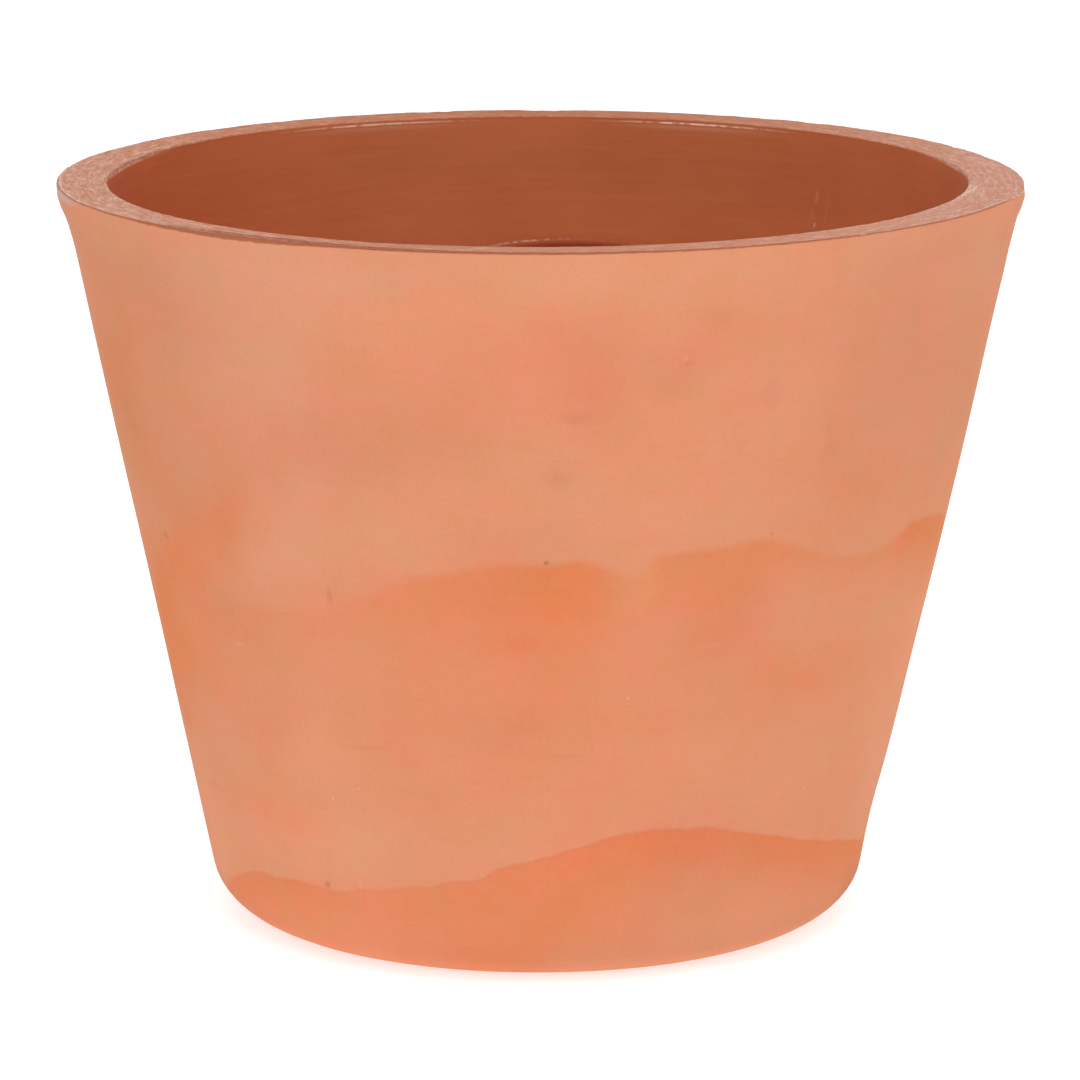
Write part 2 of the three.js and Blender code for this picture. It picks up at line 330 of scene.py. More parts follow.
# Dark specks, and pale ones where the strength is negative: azimuth, height, half-width, half-height
SPECKS = [
    (0.8, 91.6, 0.62, 0.52, 0.42), (-37.5, 18.6, 0.85, 0.80, 0.30), (-64.4, 87.0, 1.40, 0.70, 0.16),
    (-30.2, 82.2, 0.80, 2.00, 0.14), (4.4, 121.5, 3.20, 1.60, 0.08), (21.0, 141.0, 5.00, 2.00, 0.05),
    # The dark speck at 17.9 degrees and 132 mm is a painted shadow beside the pale speck at 17.5 degrees and 133 mm.
    (17.9, 132.0, 1.30, 0.60, 0.10), (17.5, 133.0, 0.60, 0.50, -0.12), (-49.0, 68.0, 2.20, 0.55, -0.10),
    (12.8, 62.5, 0.50, 0.40, -0.18), (-34.0, 38.0, 0.40, 0.40, -0.22), (-29.0, 41.0, 0.35, 0.35, -0.20),
    (25.0, 72.6, 3.60, 0.70, -0.06), (-27.0, 50.2, 6.50, 0.50, 0.06), (4.0, 50.4, 5.00, 0.45, 0.05),
    (29.5, 124.5, 2.60, 3.00, 0.07), (-66.0, 33.0, 5.00, 0.80, 0.06), (66.0, 41.0, 0.50, 0.45, -0.15),
    (47.0, 37.5, 0.45, 0.40, -0.15), (32.2, 95.0, 0.50, 0.40, 0.16),
    (1.6, 108.8, 3.00, 2.40, 0.05), (39.5, 112.0, 2.60, 8.00, 0.04),
]


def noise_at(points, size):
    """Smooth noise from -1 to 1 at each point, with features of about this size in millimetres."""
    scaled = (np.asarray(points, float) / size).tolist()
    return np.array([noise.noise(Vector(p)) for p in scaled])


def bulge(value, middle, half_width):
    """A bell curve: 1 at the middle, and a third of that at half_width on each side of it."""
    return np.exp(-((value - middle) / half_width) ** 2)


def round_table(azimuth, rows, column):
    """One column of a table by azimuth, joined up round the pot and with its corners softened."""
    table = np.array(rows, float)
    softening = np.linspace(-1.6, 1.6, 9)
    values = [np.interp(azimuth + d, table[:, 0], table[:, column], period=360) for d in softening]
    return np.mean(values, axis=0)


def tide(azimuth, z, rows):
    """Height above a tide line, how far down its stain fades, and how strong it is, at each point."""
    above = z - round_table(azimuth, rows, 1)
    return np.stack([above, round_table(azimuth, rows, 3), round_table(azimuth, rows, 2)], axis=1)


def soft_patches(azimuth, z, ragged):
    """The patches' amounts added up. Their edges wander by a shift in millimetres at each point."""
    total = np.zeros((len(z), 3))
    for at, height, half_width, half_height, rise, *amounts in PATCHES:
        aside = (azimuth + ragged[:, 0] * 0.6 - at + 180) % 360 - 180
        up = z + ragged[:, 1] - height - rise * aside
        distance = (aside / half_width) ** 2 + (up / half_height) ** 2
        total += np.exp(-distance * 0.8)[:, None] * amounts
    return total


# The one patch with a clear edge, at the left: where its edge crosses a height, how many degrees the
# edge moves for each millimetre up, half the patch's height, and how much more orange its inner side is
EDGED_PATCH = (-44.0, 93.0, 0.20, 15.0, 0.09)


def edged_patch(azimuth, z, ragged):
    """How much more orange the left-hand patch is inside its edge, and less so just outside it."""
    at, height, slant, half_height, strength = EDGED_PATCH
    inward = at + slant * (z - height) - azimuth + 0.25 * ragged[:, 0]
    return strength * np.tanh(inward / 1.8) * bulge(inward, 0, 9.0) * bulge(z, height, half_height)


# ---------------------------------------------------------------------------------------- the rim

# How far the rim's outer circle is pressed in from a true one
RIM_PRESSED_IN = [
    (-180, 1.6), (-170, 1.1), (-158, 0.8), (-145, 0.9), (-125, 0.8), (-115, 0.5), (-107, -0.2),
    (-98, -0.3), (-90, -0.2), (-82, 0.05), (-75, 0.4), (-60, 1.8), (-45, 3.0), (-25, 3.8), (0, 3.4),
    (25, 3.4), (45, 3.0), (60, 1.9), (75, 0.75), (90, 0.7), (98, 1.3), (105, 1.8), (115, 1.9), (125, 1.8), (135, 1.3),
    (147, 1.3), (160, 1.6), (170, 1.75),
]
# How far the wear and painted shade on the rim's outer edge reach down the face, how far the wear
# reaches in across the top, how strong the painted highlight along the edge is, and how strongly
# the wear and painted shade on the face show
RIM_OUTER_EDGE = [
    (-180, 0.25, 0.0, 0.5, 0.55), (-110, 0.25, 0.0, 0.5, 0.55), (-88, 0.25, 0.0, 0.9, 0.5),
    (-66, 0.3, 0.0, 1.0, 0.6), (-58, 0.35, 0.0, 0.9, 0.75), (-50, 0.6, 1.5, 0.6, 0.85),
    (-40, 0.9, 4.5, 0.1, 0.85), (-33, 0.8, 5.0, 0.0, 0.85), (-25, 0.4, 4.0, 0.0, 0.85),
    (-12, 0.3, 2.4, 0.0, 0.85), (0, 0.28, 1.6, 0.0, 0.85), (30, 0.28, 0.8, 0.2, 0.85),
    (60, 0.25, 0.3, 0.35, 0.75), (84, 0.25, 0.0, 0.7, 0.5), (110, 0.25, 0.0, 0.5, 0.55),
]
# How strong the painted highlight along the rim's inner edge is, and how strong the bead just under it is: both its
# relief and the painted highlight on it, strongest at two arcs at the back left and right
RIM_INNER_EDGE = [
    (-180, 0.0, 0.0), (-172, 0.0, 0.05), (-168, 0.0, 0.2), (-163, 0.0, 0.5), (-159, 0.0, 0.75),
    (-151, 0.0, 0.75), (-148, 0.0, 0.4), (-143, 0.0, 0.1), (-136, 0.0, 0.0), (-90, 0.0, 0.0), (-60, 0.2, 0.0),
    (-40, 0.4, 0.0), (0, 0.4, 0.0), (20, 0.6, 0.0), (40, 0.9, 0.0), (74, 1.0, 0.0), (80, 0.6, 0.0), (86, 0.0, 0.0),
    (139, 0.0, 0.0), (144, 0.0, 0.2), (149, 0.0, 0.5), (153, 0.0, 0.95), (161, 0.0, 1.0), (165, 0.0, 0.5),
    (169, 0.0, 0.12), (176, 0.0, 0.0),
]
# How far the rim's paler clay runs down over the rounded inner edge, and how strongly it shows there
INNER_ROUNDING = [
    (-145, 0.1, 0.3), (-132, 0.2, 0.5), (-119, 0.5, 0.8), (-106, 1.2, 1.0), (-97, 1.3, 1.0), (-88, 0.6, 1.0),
    (-60, 0.0, 0.0), (60, 0.0, 0.0), (90, 0.5, 1.0), (99, 0.9, 1.0), (106, 0.8, 1.0), (114, 0.4, 0.8),
    (121, 0.2, 0.5), (150, 0.0, 0.0),
]
# How far the rim's grain runs down over the rounded outer edge
OUTER_ROUNDING = [(-180, 0.0), (70, 0.0), (78, 0.8), (84, 1.9), (90, 2.3), (104, 2.0), (116, 0.6), (128, 0.0)]
# How much lighter, more ochre and more orange the rim is
RIM_TONE = [
    (-180, -0.22, 0.0, 0.8), (-150, -0.17, 0.0, 0.55), (-125, -0.08, 0.0, 0.3), (-105, -0.02, 0.0, 0.0),
    (-60, -0.02, 0.0, -0.06), (-40, -0.05, -0.01, 0.15), (-25, -0.08, -0.02, 0.3), (0, -0.07, -0.02, 0.3),
    (20, -0.05, -0.02, 0.22), (40, -0.01, -0.02, 0.0), (60, 0.0, -0.02, -0.2), (100, 0.0, -0.02, -0.2),
    (120, -0.05, -0.01, 0.0), (140, -0.11, 0.0, 0.28), (160, -0.17, 0.0, 0.55),
]

BEAD_DEPTH = 0.9
SECOND_BEAD_DEPTH = 1.75
NICK_COUNT = 26
DENT_COUNT = 34
INNER_SCRATCHES = [(135.8, 141.2, 1.6, 0.10), (136.3, 137.3, 1.6, 0.04), (135.4, 135.3, 0.6, 0.22),
                   (133.5, 139.0, 4.0, 0.03)]  # azimuth, height, half-length, strength
THUMB_MARK = (174.6, 124.0, 23.5, 4.2, 0.7)  # azimuth, height, half-width, half-height, depth


def bumps(coords, around, up, sizes, depths):
    """Adds up round dents at these places. coords are millimetres round and along the surface."""
    total = np.zeros(len(coords))
    for a, u, size, depth in zip(around, up, sizes, depths):
        distance = ((coords[:, 0] - a) ** 2 + (coords[:, 1] - u) ** 2) / size ** 2
        total -= depth * np.exp(-distance)
    return total


def side_collar(azimuth, below):
    """How far the lip stands out at the pot's left and right, where the oval rim bulges."""
    sideways = np.sin(np.radians(azimuth))
    left = np.clip(-sideways, 0, 1) ** 6 * 0.60 * bulge(below, 3.2, 2.6)
    right = np.clip(sideways, 0, 1) ** 6 * (0.68 * bulge(below, 3.2, 1.9) + 0.45 * bulge(below, 14, 12))
    return left + right


def unevenness(azimuth, spot, rings, ring):
    """How far each vertex stands out of the true section, in millimetres."""
    radius, z = rings.points[ring].T
    along = rings.along[ring]
    rim, inside, under = rings.weights[ring].T
    outer = 1 - rim - inside - under
    angle = np.radians(azimuth)
    random = np.random.default_rng(7)

    # The wall swells and hollows gently, as a hand-smoothed one does
    out = outer * (0.16 * noise_at(spot, 46) + 0.05 * noise_at(spot, 17))
    out += inside * (0.30 * noise_at(spot + 500, 50) + 0.08 * noise_at(spot, 14))
    out += rim * 0.16 * noise_at(spot, 34)
    out += under * 0.15 * noise_at(spot, 20) * (z > 0.01)
    to_right = np.clip(np.sin(angle), 0, 1)
    out += outer * to_right * (0.7 * bulge(z, 95, 42) - 0.55 * bulge(z, 21, 11))

    # Turning lines run round the wall and fade in and out
    turned = np.stack([np.cos(angle) * 22, np.sin(angle) * 22, along * 8], axis=1)
    strength = 0.5 + 0.5 * noise_at(spot, 30)
    out += (outer * 0.03 + inside * 0.07) * noise_at(turned, 22) * strength

    # The rim is rough: long shallow drag marks round it, and grit
    drag = np.stack([np.cos(angle) * 95, np.sin(angle) * 95, along * 5], axis=1)
    out += rim * (0.10 * noise_at(drag, 5.0) + 0.06 * noise_at(drag, 2.2) + 0.05 * noise_at(spot, 2.2))

    # The worn outer edge is chamfered
    worn = round_table(azimuth, RIM_OUTER_EDGE, 1)
    below = HEIGHT - z
    out -= outer * 0.45 * np.clip(worn - 0.4, 0, 2) * np.exp(-(below / worn) ** 2)

    # A fine raised bead under the inner edge, with a fainter one below it
    depth = np.where(inside > 0, below, 99.0)
    bead = round_table(azimuth, RIM_INNER_EDGE, 2)
    out += bead * (0.20 * bulge(depth, BEAD_DEPTH, 0.3) + 0.08 * bulge(depth, SECOND_BEAD_DEPTH, 0.4))

    # The inner edge is rounded off at the far left and right
    inner_edge = along[np.argmin(np.abs(radius - (RIM_RADIUS - RIM_THICKNESS)) + np.abs(z - HEIGHT))]
    rounding = round_table(azimuth, INNER_ROUNDING, 1)
    out -= (rim + inside) * 0.10 * rounding * bulge(along, inner_edge, 1.1 * rounding + 0.05)

    # One oval thumb mark on the back of the inner wall, with a raised lip round it
    at, height, half_width, half_height, deep = THUMB_MARK
    aside = np.radians((azimuth - at + 180) % 360 - 180) * radius
    away = np.hypot(aside / half_width, (z - height) / half_height)
    mark = 0.22 * np.exp(-((away - 1.08) / 0.09) ** 2) - deep * np.exp(-(away / 0.85) ** 4)
    out += np.where(inside > 0.99, mark, 0.0)

    # Nicks along the rim's outer edge, and shallow dents on the wall
    coords = np.stack([angle * radius, along], axis=1)
    outer_edge = along[np.argmin(np.abs(radius - RIM_RADIUS) + np.abs(z - LIP_TOP))]
    places = random.uniform(-math.pi, math.pi, NICK_COUNT) * RIM_RADIUS
    out += bumps(coords, places, outer_edge + random.uniform(0.3, 1.2, NICK_COUNT),
                 random.uniform(0.8, 1.9, NICK_COUNT), random.uniform(0.08, 0.26, NICK_COUNT))
    start = along[np.argmin(np.abs(z - FOOT_ROUNDING_HEIGHT) + np.abs(outer - 1) * 50)]
    places = random.uniform(-math.pi, math.pi, DENT_COUNT) * 80
    out += outer * bumps(coords, places, start + random.uniform(5, 120, DENT_COUNT),
                         random.uniform(2.6, 5.5, DENT_COUNT), random.uniform(0.03, 0.10, DENT_COUNT))
    return out


# --------------------------------------------------------------------------------------- the mesh

def ring_faces(first, count, second, next_count):
    """Faces between two rings of vertices, given each one's first index and its number of vertices.
    One ring may have twice as many as the other."""
    faces = []
    if count == next_count:
        for i in range(count):
            j = (i + 1) % count
            faces.append((first + i, first + j, second + j, second + i))
    elif next_count == 2 * count:
        for i in range(count):
            j = (i + 1) % count
            a, b, c = second + 2 * i, second + 2 * i + 1, second + (2 * i + 2) % next_count
            faces += [(first + i, b, a), (first + i, first + j, b), (first + j, c, b)]
    else:
        for i in range(next_count):
            j = (i + 1) % next_count
            a, b, c = first + 2 * i, first + 2 * i + 1, first + (2 * i + 2) % count
            faces += [(a, b, second + i), (b, second + j, second + i), (b, c, second + j)]
    return faces


def add_attribute(mesh, name, values):
    """Stores a number, or three, on every vertex for the material to read."""
    kind, field = ("FLOAT", "value") if values.ndim == 1 else ("FLOAT_VECTOR", "vector")
    layer = mesh.attributes.new(name, kind, "POINT")
    layer.data.foreach_set(field, np.ascontiguousarray(values, np.float32).ravel())


def make_pot():
    rings = Rings()
    ring = np.repeat(np.arange(len(rings.counts)), rings.counts)
    azimuth = np.concatenate([np.arange(n) * 360.0 / n for n in rings.counts])
    azimuth = (azimuth + 180) % 360 - 180
    angle = np.radians(azimuth)
    facing = np.stack([np.sin(angle), -np.cos(angle)], axis=1)
    radius, z = rings.points[ring].T
    rim, inside, under = rings.weights[ring].T
    outer = 1 - rim - inside - under
    spot = np.column_stack([facing * radius[:, None], z])

    out = unevenness(azimuth, spot, rings, ring)
    across = np.clip((RIM_RADIUS - radius) / RIM_THICKNESS, 0, 1) * (rim > 0)
    pressed = round_table(azimuth, RIM_PRESSED_IN, 1)
    below = HEIGHT - z
    pressed = pressed * (outer * (0.35 * z / HEIGHT + 0.65 * np.exp(-below / 14)) + rim * (1 - across))
    pressed -= side_collar(azimuth, below) * outer
    normal = rings.normals[ring]
    place = np.column_stack([facing * (radius - pressed + normal[:, 0] * out)[:, None],
                             z + normal[:, 1] * out])
    hollow = np.maximum(inside * np.clip(z / HEIGHT, 0, 1), across)
    place[:, 0] += LEAN * (1 - z / HEIGHT) + MOUTH_OFFSET * hollow
    place[:, 2] = np.clip(place[:, 2], 0.0, HEIGHT)

    faces = []
    starts = np.concatenate([[0], np.cumsum(rings.counts)]).tolist()
    total = len(rings.counts)
    for i in range(total):
        j = (i + 1) % total
        faces += ring_faces(starts[i], rings.counts[i], starts[j], rings.counts[j])
    mesh = bpy.data.meshes.new("pot_visual")
    mesh.from_pydata((place * MM).tolist(), [], faces)
    mesh.validate()
    mesh.shade_smooth()

    ragged = np.stack([noise_at(spot + 90, 16), noise_at(spot + 190, 16)], axis=1) * 5
    ragged += np.stack([noise_at(spot + 290, 6), noise_at(spot + 390, 6)], axis=1) * 2
    # The patches' lighter amounts include painted light and shade on the wall's sides
    orange, light, ochre = soft_patches(azimuth, z, ragged).T * outer
    orange += edged_patch(azimuth, z, ragged) * outer
    # Painted light low on the foot, against the shade where the wall turns under
    light += outer * FOOT_PAINTED_LIGHT * np.exp(-(z / FOOT_PAINTED_LIGHT_HEIGHT) ** 2)
    covered = np.clip((round_table(azimuth, INNER_ROUNDING, 1) + 0.2 - below) / 0.45, 0, 1)
    covered = inside * covered * round_table(azimuth, INNER_ROUNDING, 2)
    rim_clay = rim + covered
    light += rim_clay * round_table(azimuth, RIM_TONE, 1)
    ochre += rim_clay * round_table(azimuth, RIM_TONE, 2)
    redder = rim_clay * round_table(azimuth, RIM_TONE, 3)
    clean = inside - covered
    # Painted light on the clean inside: lighter at the sides and deeper down against the shade there, and more orange
    # at the sides against the pale sheen there
    sideways = np.sin(angle)
    at_left = sideways < 0
    deeper = np.clip((below - 10) / 14, 0, 1)
    side_painted_light = np.where(at_left, INSIDE_LEFT_PAINTED_LIGHT, INSIDE_RIGHT_PAINTED_LIGHT)
    light += clean * (side_painted_light * sideways ** 4 + INSIDE_DEEP_PAINTED_LIGHT * deeper)
    redder += clean * sideways ** 4 * np.where(at_left, INSIDE_LEFT_ORANGE, INSIDE_RIGHT_ORANGE)
    tint = np.exp(np.stack([light - 0.5 * ochre, light + 0.5 * ochre - ORANGE_IN_GREEN * redder,
                            light - ORANGE_IN_BLUE * redder], axis=1))
    add_attribute(mesh, "around_along", np.column_stack([facing * RIM_RADIUS, rings.along[ring]]))
    drop = round_table(azimuth, OUTER_ROUNDING, 1)
    over_edge = outer * np.clip((drop - below) / 0.45 + 0.5, 0, 1) * (drop > 0)
    add_attribute(mesh, "zone", np.column_stack([rim + over_edge, inside, under]))
    add_attribute(mesh, "lower_tide", tide(azimuth, z, LOWER_TIDE))
    add_attribute(mesh, "middle_tide", tide(azimuth, z, MIDDLE_TIDE))
    add_attribute(mesh, "tide_edges", np.stack([round_table(azimuth, LOWER_TIDE, 4),
                                                round_table(azimuth, MIDDLE_TIDE, 4),
                                                round_table(azimuth, LOWER_TIDE, 5)], axis=1))
    add_attribute(mesh, "stain", orange)
    add_attribute(mesh, "tint", tint)
    rim_place = across + 0.15 * np.clip(1 - below / np.maximum(drop, 0.01), 0, 1) * np.clip(drop, 0, 1)
    rim_place = np.where(inside > 0, 1.0, rim_place)
    add_attribute(mesh, "edges", np.stack([below, round_table(azimuth, RIM_OUTER_EDGE, 1), rim_place], axis=1))
    add_attribute(mesh, "edge_highlights", np.stack([round_table(azimuth, RIM_OUTER_EDGE, 3),
                                                round_table(azimuth, RIM_INNER_EDGE, 1),
                                                round_table(azimuth, RIM_INNER_EDGE, 2)], axis=1))
    add_attribute(mesh, "rim_wear", np.stack([round_table(azimuth, RIM_OUTER_EDGE, 2),
                                              round_table(azimuth, INNER_ROUNDING, 1),
                                              round_table(azimuth, INNER_ROUNDING, 2)], axis=1))
    add_attribute(mesh, "face_wear_and_shade", round_table(azimuth, RIM_OUTER_EDGE, 4))

    pot = bpy.data.objects.new("pot_visual", mesh)
    bpy.context.scene.collection.objects.link(pot)
    return pot


# --------------------------------------------------------------------------------------- material

def colour(red, green, blue):
    """A node colour from sRGB numbers up to 255."""
    parts = [v / 255 for v in (red, green, blue)]
    linear = [v / 12.92 if v <= 0.04045 else ((v + 0.055) / 1.055) ** 2.4 for v in parts]
    return (*linear, 1.0)


class Nodes:
    """A material's node tree, with a short call for each kind of node that this scene uses."""

    def __init__(self, name):
        self.material = bpy.data.materials.new(name)
        self.material.use_nodes = True
        self.tree = self.material.node_tree
        self.shader = self.tree.nodes["Principled BSDF"]

    def put(self, socket, value):
        if isinstance(value, bpy.types.NodeSocket):
            self.tree.links.new(value, socket)
        else:
            socket.default_value = value

    def math(self, operation, a, b=0.0, clamp=False):
        node = self.tree.nodes.new("ShaderNodeMath")
        node.operation = operation
        node.use_clamp = clamp
        self.put(node.inputs[0], a)
        self.put(node.inputs[1], b)
        return node.outputs[0]

    def add(self, *values):
        total = values[0]
        for value in values[1:]:
            total = self.math("ADD", total, value)
        return total

    def times(self, *values):
        total = values[0]
        for value in values[1:]:
            total = self.math("MULTIPLY", total, value)
        return total

    def vector_math(self, operation, a, b):
        node = self.tree.nodes.new("ShaderNodeVectorMath")
        node.operation = operation
        self.put(node.inputs[0], a)
        self.put(node.inputs[1], b)
        return node.outputs["Value"] if operation == "LENGTH" else node.outputs["Vector"]

    def step(self, value, low, high, to_low=0.0, to_high=1.0):
        """A smooth step from to_low to to_high as value goes from low to high."""
        node = self.tree.nodes.new("ShaderNodeMapRange")
        node.interpolation_type = "SMOOTHSTEP"
        for name, number in (("Value", value), ("From Min", low), ("From Max", high),
                             ("To Min", to_low), ("To Max", to_high)):
            self.put(node.inputs[name], number)
        return node.outputs["Result"]

    def peak(self, value, middle, half_width):
        """1 where value is at the middle, down to 0 at half_width on each side of it."""
        away = self.math("ABSOLUTE", self.math("SUBTRACT", value, middle))
        return self.step(away, 0.0, half_width, 1.0, 0.0)

    def mix(self, factor, a, b, blend="MIX"):
        node = self.tree.nodes.new("ShaderNodeMix")
        node.data_type = "RGBA"
        node.blend_type = blend
        self.put(node.inputs[0], factor)
        self.put(node.inputs[6], a)
        self.put(node.inputs[7], b)
        return node.outputs[2]

    def attribute(self, name):
        node = self.tree.nodes.new("ShaderNodeAttribute")
        node.attribute_name = name
        return node

    def parts(self, vector):
        node = self.tree.nodes.new("ShaderNodeSeparateXYZ")
        self.put(node.inputs[0], vector)
        return node.outputs

    def noise(self, where, size, detail=2.0, roughness=0.5):
        """Noise from about 0 to 1 with features of this size in millimetres."""
        node = self.tree.nodes.new("ShaderNodeTexNoise")
        self.put(node.inputs["Vector"], where)
        node.inputs["Scale"].default_value = 1.0 / size
        node.inputs["Detail"].default_value = detail
        node.inputs["Roughness"].default_value = roughness
        return node.outputs[0]

    def near(self, where, azimuth, radius, height, half_width, half_height):
        """Coordinates round a place on the wall, with length 1 on the edge of an oval of this size."""
        angle = math.radians(azimuth)
        node = self.tree.nodes.new("ShaderNodeMapping")
        node.vector_type = "TEXTURE"
        self.put(node.inputs["Vector"], where)
        lean = LEAN * (1 - height / HEIGHT)
        place = (radius * math.sin(angle) + lean, -radius * math.cos(angle), height)
        node.inputs["Location"].default_value = place
        node.inputs["Rotation"].default_value = (0, 0, angle)
        node.inputs["Scale"].default_value = (half_width, 50.0, half_height)
        return node.outputs[0]

    def bump(self, height, distance):
        """Tilts the surface as a relief of this height in millimetres would."""
        node = self.tree.nodes.new("ShaderNodeBump")
        node.inputs["Distance"].default_value = distance * MM
        self.put(node.inputs["Height"], height)
        return node.outputs[0]


CLAY = colour(198, 110, 66)
BLOOM = colour(196, 134, 103)
TIDE_EDGE = colour(164, 98, 68)
LAVENDER_HIGHLIGHT = colour(184, 150, 142)
SPECK_DARK = colour(96, 52, 36)
SPECK_PALE = colour(226, 178, 150)
RIM_CLAY = colour(187, 127, 100)
RIM_PALE = colour(211, 181, 164)
RIM_DARK = colour(163, 88, 60)
RIM_EDGE_HIGHLIGHT = colour(218, 182, 164)
EDGE_WEAR_AND_SHADE = colour(146, 79, 51)
INSIDE = colour(163, 86, 49)
INSIDE_PALE = colour(173, 95, 59)
INSIDE_DARK = colour(153, 76, 41)
THUMB_MARK_SHADOW = colour(132, 46, 8)
PALE_MARK_AND_HIGHLIGHT = colour(226, 190, 172)
UNDERSIDE = colour(180, 102, 66)
UNDERSIDE_PALE = colour(190, 118, 84)
FOOT_WORN = colour(202, 134, 100)
BASE_STAIN = 0.30  # how much of the clay shows through the bloom everywhere
SALMON_SHIFT = (1.02, 0.985, 1.01, 1.0)
OCHRE_SHIFT = (0.975, 1.012, 0.975, 1.0)


def tide_stain(nodes, name, edge, wander):
    """How far the orange clay shows because of one tide line: sharp above, fading below."""
    above, depth, strength = nodes.parts(nodes.attribute(name).outputs["Vector"])
    above = nodes.add(above, wander)
    sharp = nodes.step(above, nodes.times(edge, -1.4), nodes.times(edge, 0.8), 1.0, 0.0)
    fade = nodes.math("DIVIDE", nodes.math("MAXIMUM", nodes.times(above, -1.0), 0.0), depth)
    fade = nodes.math("POWER", math.e, nodes.times(nodes.math("POWER", fade, 2.0), -1.0))
    return nodes.times(sharp, fade, strength), above


def outer_colour(nodes, where, turned):
    """Orange clay under a pale bloom, with tide lines, soft clouds and a fine grain."""
    wander = nodes.add(nodes.times(nodes.add(nodes.noise(where, 8.0, 3.0), -0.5), 2.6),
                       nodes.times(nodes.add(nodes.noise(where, 1.6, 2.0), -0.5), 0.5))
    lower_edge, middle_edge, dark_edge = nodes.parts(nodes.attribute("tide_edges").outputs["Vector"])
    lower, above_lower = tide_stain(nodes, "lower_tide", lower_edge, wander)
    middle, _ = tide_stain(nodes, "middle_tide", middle_edge, wander)
    clouds = nodes.step(nodes.noise(where, 24.0, 4.0, 0.6), 0.25, 0.75, -0.10, 0.10)
    mottle = nodes.step(nodes.noise(where, 2.2, 3.0, 0.6), 0.3, 0.7, -0.035, 0.035)
    streaks = nodes.step(nodes.noise(turned, 16.0, 3.0, 0.6), 0.3, 0.7, -0.04, 0.04)
    bare = nodes.add(nodes.attribute("stain").outputs["Fac"], BASE_STAIN, clouds, mottle, streaks)
    bare = nodes.math("ADD", bare, nodes.math("MAXIMUM", lower, middle), clamp=True)
    base = nodes.mix(bare, BLOOM, CLAY)

    edge_line = nodes.times(nodes.peak(above_lower, -0.35, 0.7), dark_edge, 0.45)
    base = nodes.mix(edge_line, base, TIDE_EDGE)
    grain = nodes.step(nodes.noise(where, 0.55, 2.0), 0.3, 0.7, 0.975, 1.025)
    elsewhere = nodes.vector_math("ADD", where, (310.0, 0, 0))
    shift = nodes.step(nodes.noise(elsewhere, 10.0, 2.5, 0.5), 0.34, 0.66)
    shift = nodes.mix(shift, SALMON_SHIFT, OCHRE_SHIFT)
    base = nodes.mix(1.0, base, grain, blend="MULTIPLY")
    return nodes.mix(1.0, base, shift, blend="MULTIPLY")


def specks(nodes, where, base):
    """Dark and pale specks on the outer wall, and a grey-lavender painted highlight under the rim at the left."""
    for azimuth, height, half_width, half_height, strength in SPECKS:
        place = nodes.near(where, azimuth, wall_radius(height), height, half_width, half_height)
        amount = nodes.step(nodes.vector_math("LENGTH", place, (0, 0, 0)), 0.2, 1.4, abs(strength), 0.0)
        base = nodes.mix(amount, base, SPECK_DARK if strength > 0 else SPECK_PALE)
    # A painted highlight: a grey-lavender sheen on the wall just under the rim at the far left
    limb_highlight = nodes.near(where, -83.0, RIM_RADIUS, 154.3, 22.0, 1.4)
    amount = nodes.step(nodes.vector_math("LENGTH", limb_highlight, (0, 0, 0)), 0.5, 1.2, 0.8, 0.0)
    return nodes.mix(amount, base, LAVENDER_HIGHLIGHT)


def rim_colour(nodes, where, turned):
    """Granular clay with pale and dark grains drawn out round the rim, and painted highlights along its edges."""
    outer_highlight, inner_highlight, _ = nodes.parts(nodes.attribute("edge_highlights").outputs["Vector"])
    across = nodes.parts(nodes.attribute("edges").outputs["Vector"])[2]
    coarse = nodes.noise(turned, 5.0, 3.0, 0.65)
    fine = nodes.noise(nodes.vector_math("ADD", turned, (50.0, 0, 0)), 2.0, 3.0, 0.65)
    grain = nodes.add(nodes.times(coarse, 0.5), nodes.times(fine, 0.5))
    contrast = nodes.step(nodes.parts(where)[0], -50.0, 60.0, 1.0, 0.65)
    pale_grains = nodes.times(nodes.step(grain, 0.48, 0.62, 0.0, 0.75), contrast)
    dark_grains = nodes.times(nodes.step(grain, 0.48, 0.38, 0.0, 0.6), contrast)
    base = nodes.mix(pale_grains, RIM_CLAY, RIM_PALE)
    base = nodes.mix(dark_grains, base, RIM_DARK)
    grit = nodes.step(nodes.noise(where, 0.5, 2.0), 0.35, 0.65, 0.92, 1.08)
    base = nodes.mix(1.0, base, grit, blend="MULTIPLY")

    # Wear and painted shade along the top's outer edge, in the same dark colour as on the face
    worn_width = nodes.parts(nodes.attribute("rim_wear").outputs["Vector"])[0]
    from_edge = nodes.add(nodes.times(across, RIM_THICKNESS), nodes.times(nodes.add(coarse, -0.5), 4.0))
    worn = nodes.step(nodes.math("SUBTRACT", from_edge, worn_width), -0.6, 0.5, 1.0, 0.0)
    worn = nodes.times(worn, nodes.step(worn_width, 0.2, 1.5), nodes.step(fine, 0.62, 0.42, 0.45, 0.95))
    base = nodes.mix(worn, base, EDGE_WEAR_AND_SHADE)
    # Painted highlights along the rim's inner and outer edges, broken up by the grain
    broken = nodes.step(fine, 0.36, 0.56)
    inner = nodes.times(nodes.step(across, 0.90, 0.97), inner_highlight, broken)
    outer = nodes.times(nodes.step(across, 0.11, 0.04), outer_highlight, broken)
    return nodes.mix(nodes.math("MAXIMUM", inner, outer), base, RIM_EDGE_HIGHLIGHT), grain


